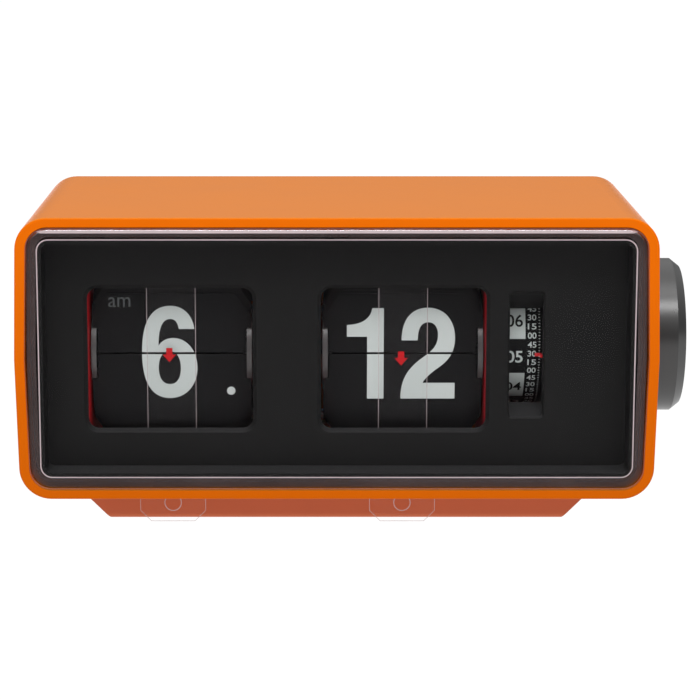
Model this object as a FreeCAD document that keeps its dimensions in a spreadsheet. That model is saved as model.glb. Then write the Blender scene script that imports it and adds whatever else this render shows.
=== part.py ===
# Flip number clock: two-part case, clear front, two leaf drums with gearing, alarm wheel.
# Units mm. X to the right, front faces -Y, Z up, origin under the middle of the plinth.
import FreeCAD, Part
import Sketcher
import math
import os

V = FreeCAD.Vector
doc = FreeCAD.newDocument("FlipClock")
sheet = doc.addObject("Spreadsheet::Sheet", "sizes")

DRIVING = [
    ("case_half", 90.0), ("case_half_end", 89.03), ("case_depth", 95.0), ("case_top", 91.4),
    ("parting", 51.4), ("rim_bottom", 11.5), ("corner_outer", 9.0), ("corner_inner", 6.3),
    ("side_wall", 2.8), ("top_wall", 2.6), ("floor_wall", 2.5), ("back_wall", 3.0),
    ("front_y", -47.5), ("plinth_half", 65.5), ("plinth_front", -24.7), ("plinth_back", 40.5),
    ("plinth_plate", 2.0), ("plinth_wall", 3.1), ("plinth_edge", 1.6), ("rim_edge", 0.6),
    ("lens_recess", 0.5), ("lens_thick", 1.8), ("lens_depth", 11.5), ("lens_gap", 0.12),
    ("lens_edge", 1.5), ("mask_recess", 12.1), ("mask_thick", 1.5), ("mask_half", 83.6),
    ("mask_low", 17.0), ("mask_high", 85.2), ("mask_corner", 3.5), ("mask_wall", 1.4),
    ("window_low", 28.0), ("window_high", 70.7), ("window_bevel", 1.1), ("window_corner", 3.0),
    ("hour_centre", -47.15), ("minute_centre", 19.0), ("window_half", 24.5),
    ("alarm_left", 48.75), ("alarm_right", 58.8), ("alarm_low", 32.4), ("alarm_high", 68.6),
    ("slot_low", 34.9), ("slot_high", 62.3), ("slot_y", -26.0), ("alarm_bevel", 0.6),
    ("alarm_corner", 0.9),
    ("axis_y", -16.5), ("axis_z", 49.4), ("pivot_radius", 10.5), ("leaf_half", 22.7),
    ("leaf_length", 17.0), ("leaf_thick", 0.3), ("leaf_gap", 0.3), ("leaf_notch", 1.6),
    ("notch_height", 7.4), ("ear_half", 22.15), ("pin_radius", 0.4), ("ear_height", 0.7),
    ("leaf_cut_x", 4.4), ("leaf_cut_z", 6.4), ("leaf_pitch", 0.45), ("leaf_offset", 0.35),
    ("fan_angle", 21.0),
    ("minute_leaves", 60), ("hour_leaves", 24),
    ("disc_inner", 21.5), ("disc_thick", 1.45), ("disc_radius", 12.3), ("groove_in", 9.0),
    ("groove_out", 11.8), ("groove_depth", 0.85), ("hub_radius", 3.0), ("axle_radius", 1.0),
    ("axle_bore", 1.15), ("plate_thick", 2.0), ("plate_inner", 23.4), ("plate_low", 18.0),
    ("plate_high", 84.0), ("plate_front", -33.0), ("plate_back_short", 10.0),
    ("plate_back_long", 38.0), ("rod_radius", 1.5), ("rod_bore", 1.55),
    ("train_distance", 20.0), ("gear_width", 2.5), ("gear_left", -18.7), ("gear_right", -11.0),
    ("setting_distance", 31.4286), ("setting_angle", 30.0), ("motor_distance", 20.0),
    ("motor_angle", -20.0), ("thumb_radius", 19.0), ("thumb_width", 3.0), ("motor_radius", 12.0),
    ("motor_length", 18.0), ("alarm_y", -7.5), ("alarm_z", 51.4), ("alarm_radius", 20.0),
    ("alarm_wheel_left", 47.6), ("alarm_wheel_right", 60.1), ("shaft_radius", 2.5),
    ("shaft_bore", 2.65), ("bush_radius", 3.9), ("bush_bore", 4.15), ("knob_radius", 22.3),
    ("knob_start", 90.6), ("knob_thick", 9.5), ("knob_edge", 2.5), ("knob_drop", 2.0), ("cam_radius", 8.0),
    ("boss_x", 83.3), ("boss_radius", 3.5), ("boss_front", -27.0), ("boss_low", 15.2),
    ("boss_rear", 38.0),
    ("screw_radius", 1.4), ("screw_head", 2.8), ("film_y", -28.8), ("film_thick", 0.16),
    ("film_half", 7.0), ("film_top", 71.5), ("tab_half", 9.5), ("tab_top", 11.2),
    ("tab_cut", 3.2), ("tab_hole", 2.25), ("tab_hole_z", 5.8), ("film_slot", 0.6),
    ("cell_radius", 13.1), ("cell_y", 30.0), ("cell_z", 31.0), ("cell_left", -76.7),
    ("cell_right", -26.7), ("door_left", -80.8), ("door_right", -23.7), ("door_hinge_z", 16.9),
    ("door_hinge_y", 46.5), ("door_top", 46.4), ("door_thick", 1.7),
    ("board_y", 37.4), ("board_thick", 1.6), ("board_left", 34.0), ("board_right", 79.0),
    ("board_low", 20.0), ("board_high", 82.0), ("switch_travel", 6.0),
]
for row, (alias, value) in enumerate(DRIVING, start=1):
    sheet.set("A%d" % row, alias)
    sheet.set("B%d" % row, str(value))
    sheet.setAlias("B%d" % row, alias)
doc.recompute()

ROOT = {}


def size(alias):
    return float(getattr(sheet, alias))


def ex(text):
    """Turn 'word + word*2' into an expression that reads the sheet."""
    out, word = "", ""
    for ch in str(text) + " ":
        if ch.isalpha() or ch == "_" or (word and ch.isdigit()):
            word += ch
            continue
        if word:
            out += word if word in ("sin", "cos", "deg", "sqrt") else "sizes." + word
            word = ""
        out += ch
    return out.strip()


def box(name, x, y, z):
    """Box between (from, to) expressions on each axis."""
    b = doc.addObject("Part::Box", name)
    for prop, span, axis in (("Length", x, "x"), ("Width", y, "y"), ("Height", z, "z")):
        b.setExpression(prop, "(%s) - (%s)" % (ex(span[1]), ex(span[0])))
        b.setExpression(".Placement.Base." + axis, ex(span[0]))
    return b


def rod(name, radius, x, at):
    """Cylinder along X from x[0] to x[1] with its axis through (y, z)."""
    c = doc.addObject("Part::Cylinder", name)
    c.Placement = FreeCAD.Placement(V(), FreeCAD.Rotation(V(0, 1, 0), 90))
    c.setExpression("Radius", ex(radius))
    c.setExpression("Height", "(%s) - (%s)" % (ex(x[1]), ex(x[0])))
    for axis, value in (("x", x[0]), ("y", at[0]), ("z", at[1])):
        c.setExpression(".Placement.Base." + axis, ex(value))
    return c


def post(name, radius, at, z):
    """Cylinder along Z with its axis through (x, y)."""
    c = doc.addObject("Part::Cylinder", name)
    c.setExpression("Radius", ex(radius))
    c.setExpression("Height", "(%s) - (%s)" % (ex(z[1]), ex(z[0])))
    for axis, value in (("x", at[0]), ("y", at[1]), ("z", z[0])):
        c.setExpression(".Placement.Base." + axis, ex(value))
    return c


def plug(name, radius, y, at):
    """Cylinder along Y with its axis through (x, z)."""
    c = doc.addObject("Part::Cylinder", name)
    c.Placement = FreeCAD.Placement(V(), FreeCAD.Rotation(V(1, 0, 0), -90))
    c.setExpression("Radius", ex(radius))
    c.setExpression("Height", "(%s) - (%s)" % (ex(y[1]), ex(y[0])))
    for axis, value in (("x", at[0]), ("y", y[0]), ("z", at[1])):
        c.setExpression(".Placement.Base." + axis, ex(value))
    return c


def fuse(name, shapes):
    f = doc.addObject("Part::MultiFuse", name)
    f.Shapes = shapes
    f.Refine = True
    return f


def cut(name, base, tools):
    c = doc.addObject("Part::Cut", name)
    c.Base = base
    c.Tool = tools[0] if len(tools) == 1 else fuse(name + "_tools", tools)
    c.Refine = True
    return c


def compound(name, shapes):
    c = doc.addObject("Part::Compound", name)
    c.Links = shapes
    return c


def node(obj, label):
    obj.Label = label
    ROOT[label] = obj
    return obj


def new_body(name):
    return doc.addObject("PartDesign::Body", name)


def sketch(body, name, role, offset, points):
    """Closed outline; every corner is placed by two expressions. role is XZ or YZ."""
    sk = body.newObject("Sketcher::SketchObject", name)
    plane = [f for f in body.Origin.OriginFeatures if f.Role == role + "_Plane"][0]
    sk.AttachmentSupport = (plane, "")
    sk.MapMode = "FlatFace"
    sign = "-" if role == "XZ" else ""
    sk.setExpression(".AttachmentOffset.Base.z", "%s(%s)" % (sign, ex(offset)))
    count = len(points)
    values = []
    for px, py in points:
        values.append((sheet_value(px), sheet_value(py)))
    for i in range(count):
        a, b = values[i], values[(i + 1) % count]
        sk.addGeometry(Part.LineSegment(V(a[0], a[1], 0), V(b[0], b[1], 0)), False)
    for i in range(count):
        sk.addConstraint(Sketcher.Constraint("Coincident", i, 2, (i + 1) % count, 1))
    for i in range(count):
        kx = sk.addConstraint(Sketcher.Constraint("DistanceX", -1, 1, i, 1, values[i][0]))
        ky = sk.addConstraint(Sketcher.Constraint("DistanceY", -1, 1, i, 1, values[i][1]))
        sk.setExpression("Constraints[%d]" % kx, ex(points[i][0]))
        sk.setExpression("Constraints[%d]" % ky, ex(points[i][1]))
    return sk


def sheet_value(text):
    """Start value for a constraint, taken from a probe cell of the sheet."""
    sheet.set("D1", "=" + ex(text).replace("sizes.", ""))
    sheet.recompute()
    return float(sheet.get("D1"))


def pad(body, name, sk, length, backwards=False):
    p = body.newObject("PartDesign::Pad", name)
    p.Profile = sk
    p.Reversed = backwards
    p.setExpression("Length", ex(length))
    doc.recompute()
    return p


def edge_names(shape, test):
    return ["Edge%d" % (i + 1) for i, e in enumerate(shape.Edges) if test(e)]


def along(edge, axis):
    if len(edge.Vertexes) != 2:
        return False
    a, b = edge.Vertexes[0].Point, edge.Vertexes[1].Point
    d = (b - a)
    return d.Length > 1e-6 and abs(getattr(d, axis)) > 0.999 * d.Length


def round_edges(body, name, base, radius, test, kind="Fillet"):
    f = body.newObject("PartDesign::" + kind, name)
    f.Base = (base, edge_names(base.Shape, test))
    f.setExpression("Radius" if kind == "Fillet" else "Size", ex(radius))
    doc.recompute()
    return f


# ---------------------------------------------------------------- case shells
def shell_outline(inset_side, inset_end, end, end_sign):
    """Half of the case seen from the front, from the parting line to one end."""
    return [("-case_half + " + inset_side, "parting"),
            ("-case_half_end + " + inset_side, end + " - %d*(%s)" % (end_sign, inset_end)),
            ("case_half_end - (%s)" % inset_side, end + " - %d*(%s)" % (end_sign, inset_end)),
            ("case_half - (%s)" % inset_side, "parting")]


def shell(name, end, end_sign, end_wall):
    body = new_body(name)
    outer = pad(body, name + "_outer", sketch(body, name + "_outer_sketch", "XZ", "front_y",
                shell_outline("0", "0", end, end_sign)), "case_depth", True)
    end_z = size(end)
    corner = round_edges(body, name + "_corners", outer, "corner_outer",
                         lambda e: along(e, "y") and abs(e.Vertexes[0].Z - end_z) < 0.01)
    back = size("front_y") + size("case_depth")
    rear = round_edges(body, name + "_rear_edge", corner, "2.5",
                       lambda e: abs(e.BoundBox.YMin - back) < 0.01
                       and abs(e.BoundBox.YMax - back) < 0.01
                       and not (along(e, "x") and abs(e.BoundBox.ZMin - size("parting")) < 0.01))
    front = round_edges(body, name + "_front_edge", rear, "rim_edge",
                        lambda e: abs(e.BoundBox.YMax - size("front_y")) < 0.01
                        and not (along(e, "x") and abs(e.BoundBox.ZMin - size("parting")) < 0.01))
    cavity = new_body(name + "_cavity")
    inner = pad(cavity, name + "_cavity_pad", sketch(cavity, name + "_cavity_sketch", "XZ",
                "front_y - 1", shell_outline("side_wall", end_wall, end, end_sign)),
                "case_depth - back_wall + 1", True)
    inner_z = end_z - end_sign * size(end_wall)
    round_edges(cavity, name + "_inner_corners", inner, "corner_inner",
                lambda e: along(e, "y") and abs(e.Vertexes[0].Z - inner_z) < 0.01)
    return cut(name + "_walls", body, [cavity])


BOSSES = [("-boss_x", "boss_front"), ("boss_x", "boss_front"),
          ("-boss_x", "boss_rear"), ("boss_x", "boss_rear")]

upper_tools = [rod("upper_bush", "bush_bore", ("case_half - 8", "case_half + 2"),
                   ("alarm_y", "alarm_z")),
               box("thumb_slot", ("gear_left - 0.7", "gear_left + thumb_width + 1.0"),
                   ("front_y + case_depth - back_wall - 1", "front_y + case_depth + 1"),
                   ("parting - 1", "parting + 28")),
               box("switch_slot", ("50", "62"), ("44", "48"), ("66", "70")),
               box("gear_relief", ("gear_right - 0.8", "gear_right + gear_width + 0.8"),
                   ("front_y + case_depth - back_wall - 1", "front_y + case_depth - back_wall + 1.4"),
                   ("axis_z + setting_distance*sin(setting_angle*1deg) - 7.5",
                    "axis_z + setting_distance*sin(setting_angle*1deg) + 7.5"))]
upper_parts = [shell("upper_case", "case_top", 1, "top_wall")]
for i, (bx, by) in enumerate(BOSSES):
    upper_parts.append(post("upper_boss_%d" % i, "boss_radius", (bx, by),
                            ("parting", "parting + 16")))
    upper_tools.append(post("upper_pilot_%d" % i, "screw_radius + 0.1", (bx, by),
                            ("parting - 1", "parting + 13")))
node(cut("upper_shell_cut", fuse("upper_shell_solid", upper_parts), upper_tools), "upper_shell")

plinth = new_body("plinth_block")
plinth_pad = pad(plinth, "plinth_pad", sketch(plinth, "plinth_sketch", "XZ", "plinth_front", [
    ("-plinth_half", "0"), ("plinth_half", "0"),
    ("plinth_half + rim_bottom", "rim_bottom - 0.02"),
    ("-plinth_half - rim_bottom", "rim_bottom - 0.02")]), "plinth_back - plinth_front", True)
round_edges(plinth, "plinth_round", plinth_pad, "plinth_edge",
            lambda e: e.BoundBox.ZMax < 0.01)
plinth_hollow = new_body("plinth_hollow")
pad(plinth_hollow, "hollow_pad", sketch(plinth_hollow, "hollow_sketch", "XZ",
    "plinth_front + plinth_plate", [
        ("-plinth_half - plinth_plate + plinth_wall", "plinth_plate"),
        ("plinth_half + plinth_plate - plinth_wall", "plinth_plate"),
        ("plinth_half + rim_bottom + floor_wall + 1 - plinth_wall", "rim_bottom + floor_wall + 1"),
        ("-plinth_half - rim_bottom - floor_wall - 1 + plinth_wall",
         "rim_bottom + floor_wall + 1")]),
    "plinth_back - plinth_front - 2*plinth_plate", True)

lower_parts = [cut("lower_floor", shell("lower_case", "rim_bottom", -1, "floor_wall"),
                   [plinth_hollow])]
plinth_parts = [cut("plinth_shell", plinth, [plinth_hollow])]
lower_tools = [rod("lower_bush", "bush_bore", ("case_half - 8", "case_half + 2"),
                   ("alarm_y", "alarm_z"))]
PLATES = {"hour_plate_left": ("hour_centre - plate_inner - plate_thick", "plate_back_short"),
          "hour_plate_right": ("hour_centre + plate_inner", "plate_back_long"),
          "minute_plate_left": ("minute_centre - plate_inner - plate_thick", "plate_back_long"),
          "minute_plate_right": ("minute_centre + plate_inner", "plate_back_short"),
          "alarm_plate": ("alarm_wheel_right + 1.1", "plate_back_short + 6")}
for label, (left, back) in PLATES.items():
    foot = "rim_bottom - 2.4" if label == "hour_plate_left" else "1"
    plinth_parts.append(box("rib_" + label, (left + " - 0.5", left + " + plate_thick + 0.5"),
                           ("-20", "8"), (foot, "plate_low - 0.05")))
for i, left in enumerate(("board_left + 4", "board_right - 8")):
    lower_parts.append(box("board_foot_%d" % i, (left, left + " + 4"),
                           ("board_y - 1", "board_y + board_thick + 1.5"),
                           ("rim_bottom + 1", "board_low - 0.05")))
for i, (bx, by) in enumerate(BOSSES):
    lower_parts.append(post("lower_boss_%d" % i, "boss_radius", (bx, by),
                            ("boss_low", "parting")))
    lower_tools.append(post("lower_pilot_%d" % i, "screw_radius + 0.2", (bx, by),
                            ("rim_bottom - 1", "parting + 1")))
    lower_tools.append(post("head_well_%d" % i, "screw_head + 0.2", (bx, by),
                            ("rim_bottom - 1", "rim_bottom + 10")))
for name, centre in (("hours", "hour_centre"), ("minutes", "minute_centre")):
    lower_tools.append(box("film_slot_" + name, (centre + " - film_half - 0.6",
                           centre + " + film_half + 0.6"),
                           ("film_y - film_slot", "film_y + film_slot"),
                           ("rim_bottom - 1", "rim_bottom + floor_wall + 1")))
lower_tools += [
    box("door_recess", ("door_left - 0.2", "door_right + 0.2"),
        ("door_hinge_y - 1", "front_y + case_depth + 1"),
        ("door_hinge_z - 1.1", "door_top + 0.2")),
    box("door_opening", ("door_left + 2", "door_right - 2"), ("44", "48"), ("17.9", "44.4")),
    rod("door_pin_hole", "0.62", ("door_left - 1.8", "door_right + 1.8"),
        ("door_hinge_y", "door_hinge_z"))]
node(cut("lower_shell_cut", fuse("lower_shell_solid", lower_parts), lower_tools), "lower_shell")
node(fuse("plinth_solid", plinth_parts), "plinth")

screws = []
for i, (bx, by) in enumerate(BOSSES):
    shank = post("screw_shank_%d" % i, "screw_radius", (bx, by),
                 ("rim_bottom + 10", "parting + 10"))
    head = post("screw_head_%d" % i, "screw_head", (bx, by),
                ("rim_bottom + 8", "rim_bottom + 9.95"))
    neck = post("screw_neck_%d" % i, "screw_radius", (bx, by),
                ("rim_bottom + 9", "rim_bottom + 11"))
    slot_a = box("screw_slot_a%d" % i, (bx + " - 1.6", bx + " + 1.6"),
                 (by + " - 0.35", by + " + 0.35"), ("rim_bottom + 7", "rim_bottom + 9"))
    slot_b = box("screw_slot_b%d" % i, (bx + " - 0.35", bx + " + 0.35"),
                 (by + " - 1.6", by + " + 1.6"), ("rim_bottom + 7", "rim_bottom + 9"))
    screws.append(cut("screw_%d" % i, fuse("screw_blank_%d" % i, [shank, head, neck]),
                      [slot_a, slot_b]))
node(compound("screw_set", screws), "case_screws")


# ---------------------------------------------------------------- clear front and mask
def ring_outline(inset):
    """Outline that follows the drafted case opening, set in by an amount."""
    low, high = "rim_bottom + floor_wall + (%s)" % inset, "case_top - top_wall - (%s)" % inset
    half, half_end = "case_half - side_wall - (%s)" % inset, "case_half_end - side_wall - (%s)" % inset
    return [("-(%s)" % half_end, low), (half_end, low), (half, "parting"), (half_end, high),
            ("-(%s)" % half_end, high), ("-(%s)" % half, "parting")]


def corner_test(e):
    return along(e, "y") and abs(e.Vertexes[0].Z - size("parting")) > 10


lens = new_body("lens_body")
lens_pad = pad(lens, "lens_pad", sketch(lens, "lens_sketch", "XZ", "front_y + lens_recess",
               ring_outline("lens_gap")), "lens_depth", True)
lens_corner = round_edges(lens, "lens_corners", lens_pad, "corner_inner - lens_gap", corner_test)
lens_front = size("front_y") + size("lens_recess")
lens_edge = round_edges(lens, "lens_front_edge", lens_corner, "lens_edge",
                        lambda e: abs(e.BoundBox.YMax - lens_front) < 0.01)
lens_hollow = new_body("lens_hollow")
lens_in = pad(lens_hollow, "lens_hollow_pad", sketch(lens_hollow, "lens_hollow_sketch", "XZ",
              "front_y + lens_recess + lens_thick", ring_outline("lens_gap + lens_thick")),
              "lens_depth", True)
round_edges(lens_hollow, "lens_inner_corners", lens_in, "corner_inner - lens_gap - lens_thick",
            corner_test)
tab_y = ("front_y + lens_recess + lens_thick - 0.3", "front_y + lens_recess + lens_depth")
tabs = []
for i, x in enumerate(("-68", "0", "64")):
    tabs.append(box("tab_low_%d" % i, (x + " - 3.5", x + " + 3.5"), tab_y,
                    ("rim_bottom + floor_wall + lens_gap + 1", "mask_low - 0.15")))
    tabs.append(box("tab_high_%d" % i, (x + " - 3.5", x + " + 3.5"), tab_y,
                    ("mask_high + 0.15", "case_top - top_wall - lens_gap - 1")))
for i, z in enumerate(("33.5", "63.5")):
    tabs.append(box("tab_left_%d" % i, ("-case_half_end + side_wall + 1", "-mask_half - 0.15"),
                    tab_y, (z + " - 3.5", z + " + 3.5")))
    tabs.append(box("tab_right_%d" % i, ("mask_half + 0.15", "case_half_end - side_wall - 1"),
                    tab_y, (z + " - 3.5", z + " + 3.5")))
node(fuse("lens_with_tabs", [cut("lens_walls", lens, [lens_hollow])] + tabs), "front_lens")

mask_plate = new_body("mask_plate")
plate_pad = pad(mask_plate, "mask_plate_pad", sketch(mask_plate, "mask_plate_sketch", "XZ",
                "front_y + mask_recess", ring_outline("0.25")), "mask_thick", True)
round_edges(mask_plate, "mask_plate_corners", plate_pad, "corner_inner", corner_test)


def rectangle(x, z):
    return [(x[0], z[0]), (x[1], z[0]), (x[1], z[1]), (x[0], z[1])]


wall = new_body("mask_wall_body")
wall_pad = pad(wall, "mask_wall_pad", sketch(wall, "mask_wall_sketch", "XZ",
               "front_y + lens_recess + lens_thick + 0.2",
               rectangle(("-mask_half", "mask_half"), ("mask_low", "mask_high"))),
               "mask_recess - lens_recess - lens_thick", True)
wall_round = round_edges(wall, "mask_wall_corners", wall_pad, "mask_corner",
                         lambda e: along(e, "y"))
wall_hollow = new_body("mask_wall_hollow")
wall_in = pad(wall_hollow, "wall_hollow_pad", sketch(wall_hollow, "wall_hollow_sketch", "XZ",
              "front_y + 1", rectangle(("-mask_half + mask_wall", "mask_half - mask_wall"),
                                       ("mask_low + mask_wall", "mask_high - mask_wall"))),
              "mask_recess + 4", True)
round_edges(wall_hollow, "mask_wall_inner_corners", wall_in, "mask_corner - mask_wall",
            lambda e: along(e, "y"))


def window(name, x, z, bevel, corner="window_corner", depth="mask_thick + 4"):
    """Solid that cuts a window with rounded corners and a bevelled front edge."""
    body = new_body(name)
    base = pad(body, name + "_pad", sketch(body, name + "_sketch", "XZ",
               "front_y + mask_recess - 2", rectangle(x, z)), depth, True)
    round_edges(body, name + "_round", base, corner, lambda e: along(e, "y"))
    flare = new_body(name + "_flare")
    fx = ("%s - %s" % (x[0], bevel), "%s + %s" % (x[1], bevel))
    fz = ("%s - %s" % (z[0], bevel), "%s + %s" % (z[1], bevel))
    base = pad(flare, name + "_flare_pad", sketch(flare, name + "_flare_sketch", "XZ",
               "front_y + mask_recess - 0.001", rectangle(fx, fz)), bevel, True)
    soft = round_edges(flare, name + "_flare_round", base, corner + " + " + bevel,
                       lambda e: along(e, "y"))
    rear = size("front_y") + size("mask_recess") - 0.001 + size(bevel)
    round_edges(flare, name + "_flare_bevel", soft, bevel + " - 0.002",
                lambda e: e.BoundBox.YMin > rear - 0.01, "Chamfer")
    return [body, flare]


mask_tools = []
for name, centre in (("hour", "hour_centre"), ("minute", "minute_centre")):
    mask_tools += window(name + "_window", (centre + " - window_half + window_bevel",
                                            centre + " + window_half - window_bevel"),
                         ("window_low + window_bevel", "window_high - window_bevel"),
                         "window_bevel")
mask_tools += window("alarm_window", ("alarm_left + alarm_bevel/2", "alarm_right - alarm_bevel/2"),
                     ("alarm_low + alarm_bevel/2", "alarm_high - alarm_bevel/2"),
                     "alarm_bevel", "alarm_corner", "mask_thick + 2")
mask_parts = [mask_plate, cut("mask_walls", wall, [wall_hollow])]
for name, edge, lip, sign in (("top", "alarm_high", "slot_high", 1),
                              ("bottom", "alarm_low", "slot_low", -1)):
    scoop = new_body("scoop_" + name)
    pad(scoop, "scoop_pad_" + name, sketch(scoop, "scoop_sketch_" + name, "YZ", "alarm_left - 1.2", [
        ("front_y + mask_recess + 0.2", edge), ("slot_y", lip),
        ("slot_y", lip + " + %d*1.2" % sign),
        ("front_y + mask_recess + 0.2", edge + " + %d*1.5" % sign)]),
        "alarm_right - alarm_left + 2.4")
    mask_parts.append(scoop)
for name, x in (("left", ("alarm_left - 1.2", "alarm_left")),
                ("right", ("alarm_right", "alarm_right + 1.2"))):
    mask_parts.append(box("scoop_side_" + name, x, ("front_y + mask_recess + 0.2", "-28.3"),
                          ("alarm_low - 1.2", "alarm_high + 1.2")))
node(cut("mask_cut", fuse("mask_solid", mask_parts), mask_tools), "face_mask")
node(fuse("pointer_solid", [
    box("pointer_foot", ("alarm_right - 0.75", "alarm_right - 0.05"), ("-30.6", "-28.6"),
        ("axis_z - 0.55", "axis_z + 0.3")),
    box("pointer_arm", ("alarm_right - 2.1", "alarm_right - 0.5"), ("-29.2", "-28.6"),
        ("axis_z - 0.45", "axis_z + 0.45"))]), "alarm_pointer")

# ---------------------------------------------------------------- movement frame
B_AT = ("axis_y + train_distance", "axis_z")
E_AT = ("axis_y + train_distance + setting_distance*cos(setting_angle*1deg)",
        "axis_z + setting_distance*sin(setting_angle*1deg)")
D_AT = ("axis_y + train_distance + motor_distance*cos(motor_angle*1deg)",
        "axis_z + motor_distance*sin(motor_angle*1deg)")
RODS = [("-5", "80"), ("8", "24")]

for label, (left, back) in PLATES.items():
    span = (left, left + " + plate_thick")
    reach = (left + " - 1", left + " + plate_thick + 1")
    front = "plate_front" if label != "alarm_plate" else "-31"
    high = "plate_high" if label != "alarm_plate" else "plate_high - 4"
    base = box(label + "_blank", span, (front, back), ("plate_low", high))
    tools = []
    if label != "alarm_plate":
        bore = {"hour_plate_left": "axle_radius + 0.05", "hour_plate_right": "hub_radius + 0.2",
                "minute_plate_left": "hub_radius + 0.2", "minute_plate_right": "axle_radius + 0.05"}
        tools.append(rod(label + "_axle_hole", bore[label], reach, ("axis_y", "axis_z")))
        tools += [rod(label + "_rod_%d" % i, "rod_bore", reach, at) for i, at in enumerate(RODS)]
    if back == "plate_back_long":
        tools += [rod(label + "_train", "axle_radius + 0.05", reach, B_AT),
                  rod(label + "_setting", "axle_radius + 0.05", reach, E_AT)]
    if label == "minute_plate_left":
        tools.append(rod(label + "_motor", "1.3", reach, D_AT))
    if label in ("minute_plate_right", "alarm_plate"):
        tools.append(rod(label + "_shaft", "shaft_bore", reach, ("alarm_y", "alarm_z")))
    node(cut(label + "_cut", base, tools), label)

AXLE_ENDS = ("hour_centre - plate_inner - plate_thick", "minute_centre + plate_inner + plate_thick")
node(rod("drum_axle_rod", "axle_radius", AXLE_ENDS, ("axis_y", "axis_z")), "drum_axle")
node(compound("rod_set", [rod("frame_rod_%d" % i, "rod_radius", AXLE_ENDS, at)
                          for i, at in enumerate(RODS)]), "frame_rods")
node(compound("axle_set", [
    rod("train_axle_%d" % i, "axle_radius", ("hour_centre + plate_inner",
        "minute_centre - plate_inner"), at) for i, at in enumerate((B_AT, E_AT))]), "train_axles")


# ---------------------------------------------------------------- gears
def gear_face(teeth, module, turn):
    """Involute outline with slack; turn is the angle of the middle of the first tooth."""
    pitch = teeth * module / 2.0
    base = pitch * math.cos(math.radians(20))
    tip, root = pitch + 0.88 * module, pitch - 1.2 * module

    def spread(radius):
        if radius <= base:
            return 0.0
        a = math.acos(base / radius)
        return math.tan(a) - a
    half_pitch = (math.pi * module / 2.0 - 0.16) / (2.0 * pitch)
    points = []
    for k in range(teeth):
        middle = turn + 2 * math.pi * k / teeth
        radii = [root, max(root, base), pitch, tip]
        halves = [half_pitch + spread(pitch) - spread(r) for r in radii]
        halves[0] = halves[0] + 0.10 * module / root
        for r, h in zip(radii, halves):
            points.append((r, middle - h))
        for r, h in reversed(list(zip(radii, halves))):
            points.append((r, middle + h))
    clean = []
    for r, a in points:
        p = V(0, r * math.sin(a), r * math.cos(a))
        if not clean or (p - clean[-1]).Length > 1e-4:
            clean.append(p)
    return Part.Face(Part.makePolygon(clean + [clean[0]]))


def value(text):
    return sheet_value(text)


def gear(teeth, module, turn, x, at):
    solid = gear_face(teeth, module, turn).extrude(V(x[1] - x[0], 0, 0))
    solid.translate(V(x[0], at[0], at[1]))
    return solid


def disc(radius, x, at):
    return Part.makeCylinder(radius, x[1] - x[0], V(x[0], at[0], at[1]), V(1, 0, 0))


def coded(label, shape):
    f = doc.addObject("Part::Feature", label)
    f.Shape = shape.removeSplitter() if shape.ShapeType != "Compound" else shape
    return node(f, label)


a_at = (size("axis_y"), size("axis_z"))
b_at = (value(B_AT[0]), value(B_AT[1]))
e_at = (value(E_AT[0]), value(E_AT[1]))
d_at = (value(D_AT[0]), value(D_AT[1]))
width = size("gear_width")
gear_l = (size("gear_left"), size("gear_left") + width)
gear_r = (size("gear_right"), size("gear_right") + width)
FAST = 2 * size("train_distance") / 84.0        # 12 + 72 teeth on the fast mesh
SLOW = 2 * size("train_distance") / 80.0        # 16 + 64 teeth on the slow mesh


def heading(origin, target):
    """Angle from +Z towards +Y of the line from one axis to another."""
    return math.atan2(target[0] - origin[0], target[1] - origin[1])


def meshed(leader_turn, leader_teeth, teeth, origin, target):
    """Tooth angle of a wheel at target so that it meshes with a wheel at origin."""
    line = heading(origin, target)
    phase = (line - leader_turn) * leader_teeth / (2 * math.pi)
    return line + math.pi - (0.5 - phase) * 2 * math.pi / teeth


def drum(label, centre, sleeve_x, gear_solid):
    c = size(centre)
    inner, thick = size("disc_inner"), size("disc_thick")
    parts = [disc(size("hub_radius"), sleeve_x, a_at)]
    rings = []
    for side in (-1, 1):
        x0, x1 = sorted((c + side * inner, c + side * (inner + thick)))
        parts.append(disc(size("disc_radius"), (x0, x1), a_at))
        g0, g1 = sorted((c + side * (inner - 1), c + side * (inner + size("groove_depth"))))
        ring = disc(size("groove_out"), (g0, g1), a_at).cut(
            disc(size("groove_in"), (g0 - 1, g1 + 1), a_at))
        rings.append(ring)
        for k in range(6):
            turn = math.radians(60 * k)
            rings.append(disc(1.5, (x0 - 1, x1 + 1), (a_at[0] + 6.2 * math.cos(turn),
                                                      a_at[1] + 6.2 * math.sin(turn))))
    solid = parts[0].fuse(parts[1:] + [gear_solid])
    bore = disc(size("axle_bore"), (c - 60, c + 60), a_at)
    return coded(label, solid.cut(rings + [bore]))


hour_c, minute_c = size("hour_centre"), size("minute_centre")
reach = size("disc_inner") + size("disc_thick")
drum("hour_drum", "hour_centre", (hour_c - reach, gear_l[1]), gear(64, SLOW, 0.0, gear_l, a_at))
minute_gear = gear(12, FAST, 0.0, gear_r, a_at).fuse(
    disc(2.2, (gear_r[0], minute_c - reach), a_at))
drum("minute_drum", "minute_centre", (minute_c - reach, minute_c + reach), minute_gear)

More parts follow.
